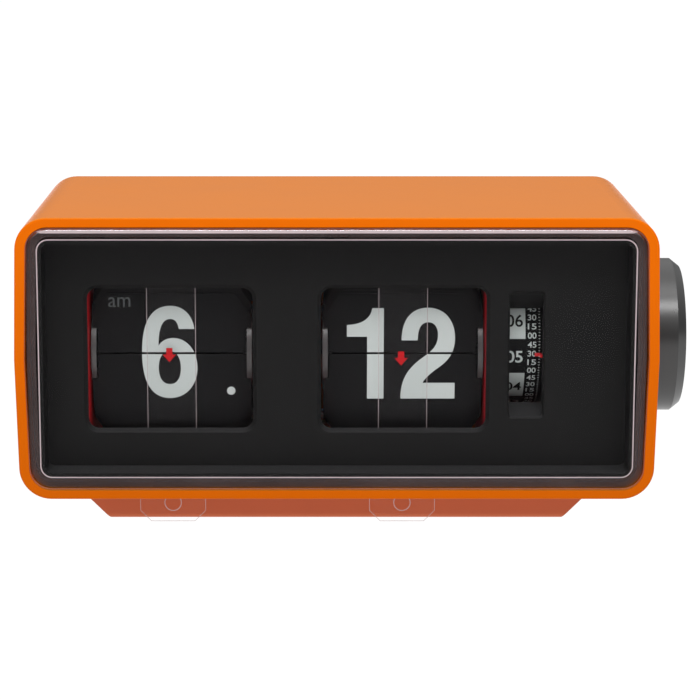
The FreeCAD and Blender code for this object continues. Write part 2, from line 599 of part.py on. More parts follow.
big_turn = meshed(0.0, 12, 72, a_at, b_at)
small_turn = meshed(0.0, 64, 16, a_at, b_at)
train = gear(72, FAST, big_turn, gear_r, b_at).fuse([
    gear(16, SLOW, small_turn, gear_l, b_at), disc(2.6, (gear_l[0], gear_r[1]), b_at)])
coded("train_wheel", train.cut(disc(size("axle_bore"), (-40, 10), b_at)))
thumb = disc(size("thumb_radius"), (gear_l[0], gear_l[0] + size("thumb_width")), e_at)
knurls = []
for k in range(72):
    turn = 2 * math.pi * k / 72
    knurls.append(disc(0.45, (gear_l[0] - 1, gear_l[0] + size("thumb_width") + 1),
                       (e_at[0] + (size("thumb_radius") + 0.1) * math.sin(turn),
                        e_at[1] + (size("thumb_radius") + 0.1) * math.cos(turn))))
setter = thumb.cut(knurls).fuse([
    gear(60, FAST, meshed(big_turn, 72, 60, b_at, e_at), gear_r, e_at),
    disc(2.6, (gear_l[0], gear_r[1]), e_at)])
coded("time_set_wheel", setter.cut(disc(size("axle_bore"), (-40, 10), e_at)))
pinion = gear(12, FAST, meshed(big_turn, 72, 12, b_at, d_at), gear_r, d_at).fuse(
    disc(size("axle_radius"), (gear_r[0], minute_c - size("plate_inner") + 3), d_at))
coded("motor_pinion", pinion)
node(cut("motor_cut", fuse("motor_solid", [
    rod("motor_can", "motor_radius", ("minute_centre - plate_inner + 0.1",
        "minute_centre - plate_inner + motor_length"), D_AT),
    rod("motor_cap", "motor_radius - 3", ("minute_centre - plate_inner + motor_length - 1",
        "minute_centre - plate_inner + motor_length + 2"), D_AT)]),
    [rod("motor_bore", "axle_bore", ("minute_centre - plate_inner - 1",
         "minute_centre - plate_inner + 4"), D_AT)]), "motor")


# ---------------------------------------------------------------- leaves
def leaf_outline(centre, sign, ears):
    """Leaf seen from the front: ears at the pivot edge, notch, chamfered free corners."""
    s = "" if sign > 0 else "-"
    rows = [("ear_half", "leaf_gap"), ("ear_half", "leaf_gap + ear_height"),
            ("leaf_half - leaf_notch", "leaf_gap + ear_height")] if ears else [
            ("leaf_half - leaf_notch", "leaf_gap")]
    rows += [
            ("leaf_half - leaf_notch", "notch_height"), ("leaf_half", "notch_height"),
            ("leaf_half", "leaf_gap + leaf_length - leaf_cut_z"),
            ("leaf_half - leaf_cut_x", "leaf_gap + leaf_length")]
    right = [("%s + %s" % (centre, x), "axis_z + %s(%s)" % (s, z)) for x, z in rows]
    left = [("%s - (%s)" % (centre, x), "axis_z + %s(%s)" % (s, z)) for x, z in reversed(rows)]
    return right + left


HINGE_Y = "axis_y - pivot_radius"


def flat_leaf(label, centre, sign, y, ears=True):
    body = new_body(label + "_body")
    pad(body, label + "_pad", sketch(body, label + "_sketch", "XZ", y,
        leaf_outline(centre, sign, ears)), "leaf_thick", True)
    return body


def flap(label, centre, y):
    """Falling leaf: a sheet with a round pivot pin on each side, held by a small lug."""
    parts = [flat_leaf(label, centre, 1, y, False)]
    inner, outer = "leaf_half - leaf_notch", "ear_half"
    for side, sign in (("left", "-"), ("right", "+")):
        low, high = (outer, inner + " - 0.8") if sign == "-" else (inner + " - 0.8", outer)
        parts.append(rod(label + "_pin_" + side, "pin_radius",
                         ("%s %s (%s)" % (centre, sign, low), "%s %s (%s)" % (centre, sign, high)),
                         (HINGE_Y, "axis_z")))
        low, high = (inner, inner + " - 0.8") if sign == "-" else (inner + " - 0.8", inner)
        parts.append(box(label + "_lug_" + side,
                         ("%s %s (%s)" % (centre, sign, low), "%s %s (%s)" % (centre, sign, high)),
                         (HINGE_Y + " - 0.1", HINGE_Y + " + leaf_offset + leaf_thick/2"),
                         ("axis_z - 0.1", "axis_z + 1.1")))
    return fuse(label + "_solid", parts)


def leaf_solid(centre):
    """Leaf standing up from the origin, its pivot line on the X axis."""
    e, h = size("ear_half"), size("leaf_half")
    n = h - size("leaf_notch")
    low, top = -size("ear_height") / 2, size("leaf_length") - size("ear_height") / 2
    ear, notch = size("ear_height") / 2, size("notch_height") - size("leaf_gap")
    pts = [(e, low), (e, ear), (n, ear), (n, notch), (h, notch),
           (h, top - size("leaf_cut_z")), (h - size("leaf_cut_x"), top)]
    pts = pts + [(-x, z) for x, z in reversed(pts)]
    wire = [V(centre + x, -size("leaf_thick") / 2, z) for x, z in pts]
    return Part.Face(Part.makePolygon(wire + [wire[0]])).extrude(V(0, size("leaf_thick"), 0))


def placed_leaf(centre, y, z, tilt):
    leaf = leaf_solid(centre)
    leaf.rotate(V(0, 0, 0), V(1, 0, 0), -tilt)
    leaf.translate(V(0, a_at[0] + y, a_at[1] + z))
    return leaf


def stacks(name, centre_alias, leaves):
    """Leaves at rest behind the front pair: hanging ones below, a fan above and behind."""
    step = 360.0 / leaves
    radius, centre = size("pivot_radius"), size(centre_alias)
    first = -radius + size("leaf_offset")
    lower, upper = [], []
    y, k = first, 1
    while -step / 2 - k * step > -153.5:
        angle = math.radians(step / 2 + k * step)
        y = max(y + size("leaf_pitch"), -radius * math.cos(angle))
        lower.append(placed_leaf(centre, y, -radius * math.sin(angle), 180))
        k += 1
    y, k = first, 1
    nxt = None
    while step / 2 + k * step < 202:
        degrees = step / 2 + k * step
        angle = math.radians(degrees)
        y = -radius * math.cos(angle) if degrees > 90 else max(
            y + size("leaf_pitch"), -radius * math.cos(angle))
        leaf = placed_leaf(centre, y, radius * math.sin(angle), max(0, degrees - size("fan_angle")))
        if k == 1:
            nxt = leaf
        else:
            upper.append(leaf)
        k += 1
    coded(name + "_next_leaf", nxt)
    coded(name + "_lower_leaves", Part.makeCompound(lower))
    coded(name + "_upper_leaves", Part.makeCompound(upper))


for name, centre in (("hour", "hour_centre"), ("minute", "minute_centre")):
    behind = HINGE_Y + " + leaf_offset - leaf_thick/2"
    node(flap(name + "_flap", centre, behind), name + "_flap")
    node(flat_leaf(name + "_front_leaf", centre, -1, behind), name + "_front_leaf")
    stacks(name, centre, int(size(name + "_leaves")))
    node(fuse(name + "_retainer_solid", [
        box(name + "_retainer_bar", (centre + " - plate_inner + 0.05",
            centre + " + plate_inner - 0.05"), (HINGE_Y, HINGE_Y + " + 3"), ("74.5", "76")),
        box(name + "_retainer_finger", (centre + " - 2", centre + " + 2"),
            (HINGE_Y + " - 0.4", HINGE_Y + " + 0.45"), ("axis_z + 17.8", "75.5"))]),
        name + "_retainer")

# ---------------------------------------------------------------- alarm
ALARM = ("alarm_y", "alarm_z")
node(cut("alarm_wheel_cut", fuse("alarm_wheel_solid", [
    cut("alarm_rim", rod("alarm_rim_outer", "alarm_radius",
                         ("alarm_wheel_left", "alarm_wheel_right"), ALARM),
        [rod("alarm_rim_inner", "alarm_radius - 1.6",
             ("alarm_wheel_left + 1.6", "alarm_wheel_right + 1"), ALARM)]),
    rod("alarm_hub", "shaft_radius + 2", ("alarm_wheel_left", "alarm_wheel_right"), ALARM)]),
    [rod("alarm_hub_bore", "shaft_radius + 0.02", ("alarm_wheel_left - 1",
         "alarm_wheel_right + 1"), ALARM)]), "alarm_wheel")
node(rod("alarm_shaft_rod", "shaft_radius", ("minute_centre + plate_inner + 0.1",
         "knob_start + knob_thick - 2.5"), ALARM), "alarm_shaft")
node(cut("alarm_cam_cut", fuse("alarm_cam_solid", [
    rod("cam_disc", "cam_radius", ("66", "69"), ALARM),
    rod("cam_boss", "shaft_radius + 1.8", ("65", "71"), ALARM)]),
    [rod("cam_bore", "shaft_radius + 0.02", ("64", "72"), ALARM),
     box("cam_notch", ("65.5", "69.5"), ("alarm_y - cam_radius - 1", "alarm_y - cam_radius + 2"),
         ("alarm_z - 1", "alarm_z + 4"))]), "alarm_cam")
knob_face = doc.addObject("Part::Cone", "knob_face")
knob_face.Placement = FreeCAD.Placement(V(), FreeCAD.Rotation(V(0, 1, 0), 90))
for prop, text in (("Radius1", "knob_radius"), ("Radius2", "knob_radius - knob_drop"),
                   ("Height", "knob_edge"),
                   (".Placement.Base.x", "knob_start + knob_thick - knob_edge"),
                   (".Placement.Base.y", "alarm_y"), (".Placement.Base.z", "alarm_z")):
    knob_face.setExpression(prop, ex(text))
node(cut("knob_cut", fuse("knob_solid", [
    rod("knob_side", "knob_radius", ("knob_start", "knob_start + knob_thick - knob_edge"), ALARM),
    knob_face, rod("knob_bush", "bush_radius", ("case_half - 4", "knob_start + 1"), ALARM)]),
    [rod("knob_bore", "shaft_radius + 0.02", ("case_half - 5", "knob_start + knob_thick - 2.4"),
         ALARM)]), "side_knob")
node(fuse("contact_solid", [
    box("contact_block", ("63.3", "71"), ("9", "15"), ("57", "64")),
    box("contact_low", ("66.2", "68.8"), ("-14", "10"), ("59.9", "60.2")),
    box("contact_high", ("66.2", "68.8"), ("-12", "10"), ("61.6", "61.9"))]), "alarm_contact")

# ---------------------------------------------------------------- electrics
node(fuse("cell_solid", [
    rod("cell_can", "cell_radius", ("cell_left", "cell_right - 1.5"), ("cell_y", "cell_z")),
    rod("cell_tip", "3.3", ("cell_right - 2", "cell_right"), ("cell_y", "cell_z"))]),
    "battery_cell")
node(cut("holder_cut", box("holder_blank", ("-79.5", "-24.5"), ("15", "44.3"), ("16.3", "45.8")),
         [box("holder_inside", ("-78.3", "-25.7"), ("16.2", "46"), ("17.5", "44.6"))]),
     "battery_holder")
springs = []
for i, r in enumerate((5.5, 4.2, 2.9)):
    springs.append(cut("spring_turn_%d" % i,
                       rod("spring_outer_%d" % i, str(r), ("-78.05 + %g" % (0.4 * i),
                           "-77.6 + %g" % (0.4 * i)), ("cell_y", "cell_z")),
                       [rod("spring_inner_%d" % i, str(r - 1.5), ("-79", "-76"),
                            ("cell_y", "cell_z"))]))
node(compound("contact_set", [
    fuse("spring_contact", springs + [box("spring_plate", ("-78.25", "-77.95"),
         ("cell_y - 6", "cell_y + 6"), ("cell_z - 6", "cell_z + 6"))]),
    box("plus_plate", ("-26.4", "-26.0"), ("cell_y - 5", "cell_y + 5"),
        ("cell_z - 5", "cell_z + 5"))]), "battery_contacts")
door_pins = [rod("door_pin_left", "0.5", ("door_left - 1.5", "door_left + 1"),
                 ("door_hinge_y", "door_hinge_z")),
             rod("door_pin_right", "0.5", ("door_right - 1", "door_right + 1.5"),
                 ("door_hinge_y", "door_hinge_z"))]
door_ribs = [box("door_grip_%d" % i, ("-58", "-46"), ("door_hinge_y + 0.4", "47.4"),
                 ("%g" % (38 + 2 * i), "%g" % (39 + 2 * i))) for i in range(3)]
node(cut("door_cut", fuse("door_solid", [
    box("door_plate", ("door_left", "door_right"),
        ("door_hinge_y - door_thick/2", "door_hinge_y + door_thick/2"),
        ("door_hinge_z", "door_top")),
    rod("door_barrel", "door_thick/2", ("door_left", "door_right"),
        ("door_hinge_y", "door_hinge_z"))] + door_pins), door_ribs), "battery_door")
node(box("board_plate", ("board_left", "board_right"), ("board_y", "board_y + board_thick"),
         ("board_low", "board_high")), "circuit_board")
node(compound("board_part_set", [
    box("board_chip", ("40", "58"), ("board_y - 3.6", "board_y - 0.05"), ("58", "65")),
    plug("board_capacitor", "3", ("board_y - 10", "board_y - 0.05"), ("66", "72")),
    plug("board_crystal", "1.5", ("board_y - 7", "board_y - 0.05"), ("52", "74")),
    box("board_resistor", ("42", "48"), ("board_y - 2.2", "board_y - 0.05"), ("50", "52"))]),
    "board_parts")
node(fuse("buzzer_solid", [
    plug("buzzer_can", "12", ("board_y - 8", "board_y - 0.05"), ("60", "34")),
    plug("buzzer_lip", "12.8", ("board_y - 2", "board_y - 0.05"), ("60", "34"))]), "buzzer")
node(box("switch_box", ("47", "65"), ("board_y + board_thick + 0.05", "42.9"), ("63", "73")),
     "switch_housing")
node(fuse("switch_solid", [
    box("switch_plate", ("48.5", "57"), ("43.1", "44.3"), ("64.3", "71.7")),
    box("switch_stem", ("50.6", "54.6"), ("43.5", "49.6"), ("66.25", "69.75"))]), "alarm_switch")

# ---------------------------------------------------------------- packing films
for name, centre in (("hour", "hour_centre"), ("minute", "minute_centre")):
    film = new_body(name + "_film")
    outline = [("tab_half - tab_cut", "0.25"), ("tab_half", "0.25 + tab_cut"),
               ("tab_half", "tab_top - 2.4"), ("film_half", "tab_top"), ("film_half", "film_top")]
    right = [("%s + %s" % (centre, x), z) for x, z in outline]
    left = [("%s - (%s)" % (centre, x), z) for x, z in reversed(outline)]
    pad(film, name + "_film_pad", sketch(film, name + "_film_sketch", "XZ",
        "film_y - film_thick/2", right + left), "film_thick", True)
    node(cut(name + "_film_cut", film, [plug(name + "_film_hole", "tab_hole",
         ("film_y - 1", "film_y + 1"), (centre, "tab_hole_z"))]), name + "_transport_strip")

# ---------------------------------------------------------------- checks and export
sheet.clear("D1")
doc.recompute()
for obj in doc.Objects:
    if "Invalid" in obj.State or "Error" in obj.State:
        raise RuntimeError("%s is not computed: %s" % (obj.Name, obj.State))
os.makedirs("parts", exist_ok=True)
for label, obj in ROOT.items():
    shape = obj.Shape
    if shape.isNull() or not shape.isValid():
        raise RuntimeError(label + " has no valid shape")
    shape.exportStep("parts/%s.step" % label)
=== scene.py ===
import math

import bmesh
import bpy
from mathutils import Matrix, Vector


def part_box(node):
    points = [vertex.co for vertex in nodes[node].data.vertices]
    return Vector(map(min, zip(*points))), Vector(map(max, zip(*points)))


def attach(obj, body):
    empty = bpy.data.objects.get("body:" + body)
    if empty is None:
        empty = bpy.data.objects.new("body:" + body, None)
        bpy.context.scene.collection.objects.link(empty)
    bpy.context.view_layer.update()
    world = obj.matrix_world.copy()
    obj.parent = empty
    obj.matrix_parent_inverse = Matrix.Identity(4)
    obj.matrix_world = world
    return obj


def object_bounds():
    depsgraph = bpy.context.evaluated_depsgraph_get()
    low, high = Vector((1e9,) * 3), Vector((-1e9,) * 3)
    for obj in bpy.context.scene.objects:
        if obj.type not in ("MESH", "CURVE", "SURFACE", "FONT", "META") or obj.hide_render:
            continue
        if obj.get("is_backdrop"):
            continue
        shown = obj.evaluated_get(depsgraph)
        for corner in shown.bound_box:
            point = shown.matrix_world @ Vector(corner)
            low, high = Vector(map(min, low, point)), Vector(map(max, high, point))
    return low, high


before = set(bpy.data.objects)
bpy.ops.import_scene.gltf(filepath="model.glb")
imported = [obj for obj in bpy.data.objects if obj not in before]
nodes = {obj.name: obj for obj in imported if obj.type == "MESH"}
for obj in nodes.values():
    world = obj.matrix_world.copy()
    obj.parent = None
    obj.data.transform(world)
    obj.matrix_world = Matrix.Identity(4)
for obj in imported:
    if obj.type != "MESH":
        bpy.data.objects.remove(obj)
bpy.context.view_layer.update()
MM = 0.001

# ------------------------------------------------------------------ materials

MOTTLE_SCALE = 45             # size of the broad mottling, as a noise scale
MOTTLE_STOPS = (0.32, 0.68)   # noise values of the darkest and the lightest tone
RELIEF = 0.0002               # depth of the surface grain, m
RUBBED = (0.53, 0.66)         # pointiness from sound to fully rubbed
UPWARD = (0.4, 0.95)          # height of the normal from no painted light from above to the full painted light
SHADED = (0.012, 0.085)       # height in m with the full painted shade, and with none
LENS_FOLD = (0.15, 0.5)       # height of the normal at which a clear fold starts to show, and does


def linear(rgb):
    """sRGB 0-255 to a linear colour."""
    out = []
    for c in rgb:
        c = c / 255.0
        out.append(c / 12.92 if c <= 0.04045 else ((c + 0.055) / 1.055) ** 2.4)
    return out + [1.0]


def shade(color, factor):
    return [min(1.0, c * factor) for c in color[:3]] + [1.0]


def add(tree, kind, **values):
    """New shader node with its inputs set; an underscore stands for a space."""
    node = tree.nodes.new("ShaderNode" + kind)
    for name, value in values.items():
        node.inputs[name.replace("_", " ")].default_value = value
    return node


def remap(tree, value, source, target):
    """Socket with a value's source range carried over to a target range."""
    node = add(tree, "MapRange", From_Min=source[0], From_Max=source[1],
               To_Min=target[0], To_Max=target[1])
    tree.links.new(value, node.inputs["Value"])
    return node.outputs["Result"]


def height_of(tree, vector):
    axes = add(tree, "SeparateXYZ")
    tree.links.new(vector, axes.inputs["Vector"])
    return axes.outputs["Z"]


def cover(tree, under, color, amount):
    """Socket with a fixed colour laid over a colour socket by an amount socket."""
    mix = add(tree, "MixRGB", Color2=color)
    tree.links.new(amount, mix.inputs["Fac"])
    tree.links.new(under, mix.inputs["Color1"])
    return mix.outputs["Color"]


def material(name, rgb, rough=0.4, rough_spread=0.06, tone=0.06, grain=1800, bump=0.05,
             metallic=0.0, specular=0.5, alpha=1.0, streak=None, edge=0.0, painted_upward_light=None, painted_low_shade=0.0):
    """Procedural finish: mottled colour, uneven gloss, fine grain and rubbed edges, with painted
    light from above as a paler colour on upward faces (painted_upward_light) and painted shade
    towards the desk (painted_low_shade) where they are given."""
    m = bpy.data.materials.new(name)
    m.use_nodes = True
    tree = m.node_tree
    surface = tree.nodes["Principled BSDF"]
    surface.inputs["Metallic"].default_value = metallic
    surface.inputs["Specular IOR Level"].default_value = specular
    surface.inputs["Alpha"].default_value = alpha

    where = add(tree, "TexCoord")
    mapping = add(tree, "Mapping")
    if streak:
        mapping.inputs["Scale"].default_value = streak
    tree.links.new(where.outputs["Object"], mapping.inputs["Vector"])
    broad = add(tree, "TexNoise", Scale=MOTTLE_SCALE, Detail=4)
    fine = add(tree, "TexNoise", Scale=grain, Detail=3)
    for noise in (broad, fine):
        tree.links.new(mapping.outputs["Vector"], noise.inputs["Vector"])

    color = linear(rgb)
    ramp = add(tree, "ValToRGB")
    for stop, position, factor in zip(ramp.color_ramp.elements, MOTTLE_STOPS,
                                      (1 - tone, 1 + tone)):
        stop.position = position
        stop.color = shade(color, factor)
    tree.links.new(broad.outputs["Fac"], ramp.inputs["Fac"])
    paint = ramp.outputs["Color"]
    if edge:
        geometry = add(tree, "NewGeometry")
        worn = remap(tree, geometry.outputs["Pointiness"], RUBBED, (0, edge))
        paint = cover(tree, paint, [0.6 * c + 0.4 for c in color[:3]] + [1], worn)
    # painted light: upward faces get a paler colour that stands in for the light and sheen from
    # above
    if painted_upward_light:
        geometry = add(tree, "NewGeometry")
        up = remap(tree, height_of(tree, geometry.outputs["Normal"]), UPWARD, (0, 1))
        paint = cover(tree, paint, linear(painted_upward_light), up)
    # painted shade: the colour darkens towards the desk, standing in for the lower parts getting
    # less light
    if painted_low_shade:
        low = remap(tree, height_of(tree, where.outputs["Object"]), SHADED, (painted_low_shade, 0))
        paint = cover(tree, paint, (0, 0, 0, 1), low)
    tree.links.new(paint, surface.inputs["Base Color"])

    gloss = remap(tree, broad.outputs["Fac"], (0, 1),
                  (max(0.01, rough - rough_spread), rough + rough_spread))
    tree.links.new(gloss, surface.inputs["Roughness"])
    relief = add(tree, "Bump", Strength=bump, Distance=RELIEF)
    tree.links.new(fine.outputs["Fac"], relief.inputs["Height"])
    tree.links.new(relief.outputs["Normal"], surface.inputs["Normal"])
    return m


def clear(name, rgb, low, high, fold, rough):
    """Clear plastic: hardly there face on, a full mirror at grazing angles, no milkiness.
    Faces that look upward, such as the top fold of the cover, show by the amount of fold."""
    m = material(name, rgb, rough=rough, rough_spread=0.012, tone=0.03, grain=400, bump=0.0,
                 metallic=1.0)
    tree = m.node_tree
    facing = add(tree, "LayerWeight", Blend=0.5)
    steep = add(tree, "Math")
    steep.operation = "POWER"
    steep.inputs[1].default_value = 4.0
    tree.links.new(facing.outputs["Facing"], steep.inputs[0])
    grazing = remap(tree, steep.outputs["Value"], (0, 1), (low, high))
    geometry = add(tree, "NewGeometry")
    folded = remap(tree, height_of(tree, geometry.outputs["Normal"]), LENS_FOLD, (0, fold))
    both = add(tree, "Math")
    both.operation = "MAXIMUM"
    tree.links.new(grazing, both.inputs[0])
    tree.links.new(folded, both.inputs[1])
    tree.links.new(both.outputs["Value"], tree.nodes["Principled BSDF"].inputs["Alpha"])
    return m


# the case's orange, with painted light from above on upward faces and painted shade towards the
# bottom
ORANGE = material("case_orange", (229, 106, 2), rough=0.22, rough_spread=0.03, tone=0.02,
                  grain=900, bump=0.015, specular=0.03, painted_upward_light=(207, 118, 30), painted_low_shade=0.22)
# the case's orange painted darker and paler on the plinth: painted shade and painted reflection of
# the white floor
SHADED_PLINTH_ORANGE = material("plinth_shaded_reflecting_orange", (195, 105, 72), rough=0.3, rough_spread=0.03, tone=0.02,
                  grain=900, bump=0.015, specular=0.06)
# painted light: upward faces such as the window bevels get a lighter grey for the light from above
BLACK = material("mask_black", (30, 30, 30), rough=0.5, tone=0.05, grain=2600, bump=0.02,
                 specular=0.03, painted_upward_light=(56, 56, 57))
LEAF = material("leaf_black", (25, 25, 26), rough=0.4, tone=0.08, grain=3000, specular=0.04)
KNOB = material("knob_black", (15, 15, 15), rough=0.3, tone=0.05, grain=2200, bump=0.02,
                specular=0.95)
RED = material("frame_red", (214, 4, 26), rough=0.35, grain=1500, bump=0.04)
POINTER = material("pointer_red", (222, 20, 30), rough=0.35, tone=0.04, grain=1500, bump=0.03)
DRUM = material("drum_black", (44, 44, 45), rough=0.3, tone=0.08, grain=1600, edge=0.2)
IVORY = material("gear_ivory", (226, 218, 190), rough=0.38, tone=0.05, grain=1500, edge=0.2)
STEEL = material("steel", (186, 188, 192), rough=0.28, metallic=1.0, grain=900, bump=0.04,
                 streak=(0.05, 1, 1), edge=0.1)
BRASS = material("brass", (206, 164, 84), rough=0.3, metallic=1.0, tone=0.07, grain=900,
                 bump=0.04, streak=(1, 0.1, 1), edge=0.15)
BOARD = material("board_brown", (150, 104, 48), rough=0.45, tone=0.12, grain=700, bump=0.1,
                 streak=(1, 1, 0.15))
CHIP = material("parts_black", (28, 28, 30), rough=0.45, tone=0.15, grain=1700, bump=0.08,
                edge=0.2)
CELL = material("cell_jacket", (52, 60, 74), rough=0.25, metallic=0.6, tone=0.12, grain=600,
                bump=0.03, edge=0.25)
PRINT = {"rough": 0.5, "grain": 3500, "bump": 0.03, "specular": 0.2}
WHITE = material("print_white", (206, 213, 211), tone=0.02, **PRINT)
DIM = material("print_grey", (92, 96, 96), tone=0.03, **PRINT)
ARROW = material("print_red", (196, 14, 24), tone=0.04, **PRINT)
INK = material("print_black", (20, 20, 21), tone=0.05, **PRINT)
LENS = clear("lens_clear", (238, 230, 233), low=0.0025, high=0.95, fold=0.35, rough=0.1)
FILM = clear("film_clear", (230, 224, 226), low=0.004, high=0.9, fold=0.0, rough=0.09)
SOFT = {"rough": 0.3, "bump": 0.0}
# painted highlight colour for pale lines at the edges of the clear front, and for the painted
# reflection on its top edge
LINE = material("lens_edge_light", (222, 204, 208), tone=0.08, alpha=0.8, **SOFT)
# painted highlight colour, dimmer, for the line at the cover's outer edge
DULL = material("lens_edge_painted_dim_highlight", (206, 150, 150), tone=0.1, alpha=0.35, **SOFT)
# painted glow: faint light laid over the band of the cover between the case and the mask
GLOW = material("painted_glow_lens_band", (150, 130, 130), tone=0.2, alpha=0.2, **SOFT)
# painted highlight colour for the film's edges
SHEEN = material("painted_film_edge_highlight", (206, 190, 192), tone=0.05, alpha=0.75, **SOFT)

FINISH = {
    ORANGE: ["upper_shell", "lower_shell", "battery_door"],
    SHADED_PLINTH_ORANGE: ["plinth"],
    LENS: ["front_lens"],
    BLACK: ["face_mask", "battery_holder", "switch_housing", "buzzer"],
    POINTER: ["alarm_pointer"],
    STEEL: ["case_screws", "drum_axle", "frame_rods", "train_axles", "motor", "battery_contacts"],
    RED: ["hour_plate_left", "hour_plate_right", "minute_plate_left", "minute_plate_right",
          "alarm_plate"],
    DRUM: ["hour_drum", "minute_drum"],
    IVORY: ["train_wheel", "alarm_cam"],
    KNOB: ["side_knob", "time_set_wheel", "alarm_switch", "alarm_shaft"],
    BRASS: ["motor_pinion", "alarm_contact"],
    LEAF: ["hour_flap", "hour_front_leaf", "hour_next_leaf", "hour_lower_leaves",
           "hour_upper_leaves", "minute_flap", "minute_front_leaf", "minute_next_leaf",
           "minute_lower_leaves", "minute_upper_leaves", "alarm_wheel", "hour_retainer",
           "minute_retainer"],
    BOARD: ["circuit_board"],
    CHIP: ["board_parts"],
    CELL: ["battery_cell"],
    FILM: ["hour_transport_strip", "minute_transport_strip"],
}
for finish, names in FINISH.items():
    for name in names:
        if not nodes[name].material_slots:
            nodes[name].data.materials.append(finish)
        for slot in nodes[name].material_slots:
            slot.material = finish
assert {name for names in FINISH.values() for name in names} == set(nodes)

# ------------------------------------------------------------------ flat meshes in mm


def curved(loop):
    """Points of a closed outline; a step of six numbers is a cubic curve, of two a line."""
    points = [loop[0]]
    pieces = 14
    for step in loop[1:]:
        if len(step) == 2:
            points.append(step)
            continue
        corners = list(zip(points[-1], step[0:2], step[2:4], step[4:6]))
        for i in range(1, pieces + 1):
            t = i / pieces
            points.append(tuple((1 - t) ** 3 * a + 3 * t * (1 - t) ** 2 * b
                                + 3 * t * t * (1 - t) * c + t ** 3 * d
                                for a, b, c, d in corners))
    return points


def circle(radius, x, y, count=36):
    return [(x + radius * math.cos(2 * math.pi * i / count),
             y + radius * math.sin(2 * math.pi * i / count)) for i in range(count)]


def stand(name, data):
    obj = bpy.data.objects.new(name, data)
    bpy.context.scene.collection.objects.link(obj)
    return obj


def to_mesh(curve):
    holder = stand("holder", curve)
    bpy.context.view_layer.update()
    mesh = bpy.data.meshes.new_from_object(
        holder.evaluated_get(bpy.context.evaluated_depsgraph_get()))
    bpy.data.objects.remove(holder)
    return mesh


def filled(loops):
    """Flat mesh in the XY plane from closed loops of points; inner loops are holes."""
    curve = bpy.data.curves.new("outline", "CURVE")
    curve.dimensions = "2D"
    curve.fill_mode = "BOTH"
    for loop in loops:
        spline = curve.splines.new("POLY")
        spline.points.add(len(loop) - 1)
        for p, (x, y) in zip(spline.points, loop):
            p.co = (x, y, 0, 1)
        spline.use_cyclic_u = True
    return to_mesh(curve)


def text_mesh(text, type_height, width, height, bold=0.0):
    """Flat text set at a height of type, then centred and stretched to a width and height."""
    curve = bpy.data.curves.new("words", "FONT")
    curve.body = text
    curve.size = type_height / 0.70     # a capital is 0.7 of the font size
    curve.offset = bold
    mesh = to_mesh(curve)
    xs = [v.co.x for v in mesh.vertices]
    ys = [v.co.y for v in mesh.vertices]
    mesh.transform(Matrix.Translation((-(min(xs) + max(xs)) / 2, -(min(ys) + max(ys)) / 2, 0)))
    mesh.transform(Matrix.Diagonal((width / (max(xs) - min(xs)), height / (max(ys) - min(ys)),
                                    1, 1)))
    return mesh


def merge(meshes):
    bm = bmesh.new()
    for mesh in meshes:
        bm.from_mesh(mesh)
    out = bpy.data.meshes.new("merged")
    bm.to_mesh(out)
    bm.free()
    return out


def keep_half(mesh, height, upper):
    """Cuts a flat mesh along a line of constant Y and keeps one side."""
    bm = bmesh.new()
    bm.from_mesh(mesh)
    bmesh.ops.bisect_plane(bm, geom=bm.verts[:] + bm.edges[:] + bm.faces[:],
                           plane_co=(0, height, 0), plane_no=(0, 1, 0),
                           clear_inner=upper, clear_outer=not upper)
    out = bpy.data.meshes.new("half")
    bm.to_mesh(out)
    bm.free()
    return out


def band(points, width, closed=False):
    """Flat strip of a width along a line of points, one rectangle for each leg."""
    ends = points[1:] + points[:1] if closed else points[1:]
    legs = []
    for (x0, y0), (x1, y1) in zip(points, ends):
        length = math.hypot(x1 - x0, y1 - y0)
        nx, ny = -(y1 - y0) / length * width / 2, (x1 - x0) / length * width / 2
        legs.append(filled([[(x0 + nx, y0 + ny), (x0 - nx, y0 - ny), (x1 - nx, y1 - ny),
                             (x1 + nx, y1 + ny)]]))
    return merge(legs)


def facing_front(mesh, y, x=0.0, z=0.0):
    """Stands a flat mesh up in the XZ plane at depth y, facing the viewer, in metres."""
    mesh.transform(Matrix.Rotation(math.radians(90), 4, "X"))
    mesh.transform(Matrix.Scale(MM, 4))
    mesh.transform(Matrix.Translation((x * MM, y * MM, z * MM)))
    return mesh


def place(name, mesh, body, finish):
    """Makes a piece of a mesh in metres and lets it ride on a body."""
    mesh.materials.clear()
    mesh.materials.append(finish)
    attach(stand(name, mesh), body)


def depths(node):
    """Front and back of a CAD node, as y in mm."""
    low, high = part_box(node)
    return low.y / MM, high.y / MM


# ------------------------------------------------------------------ printed digits

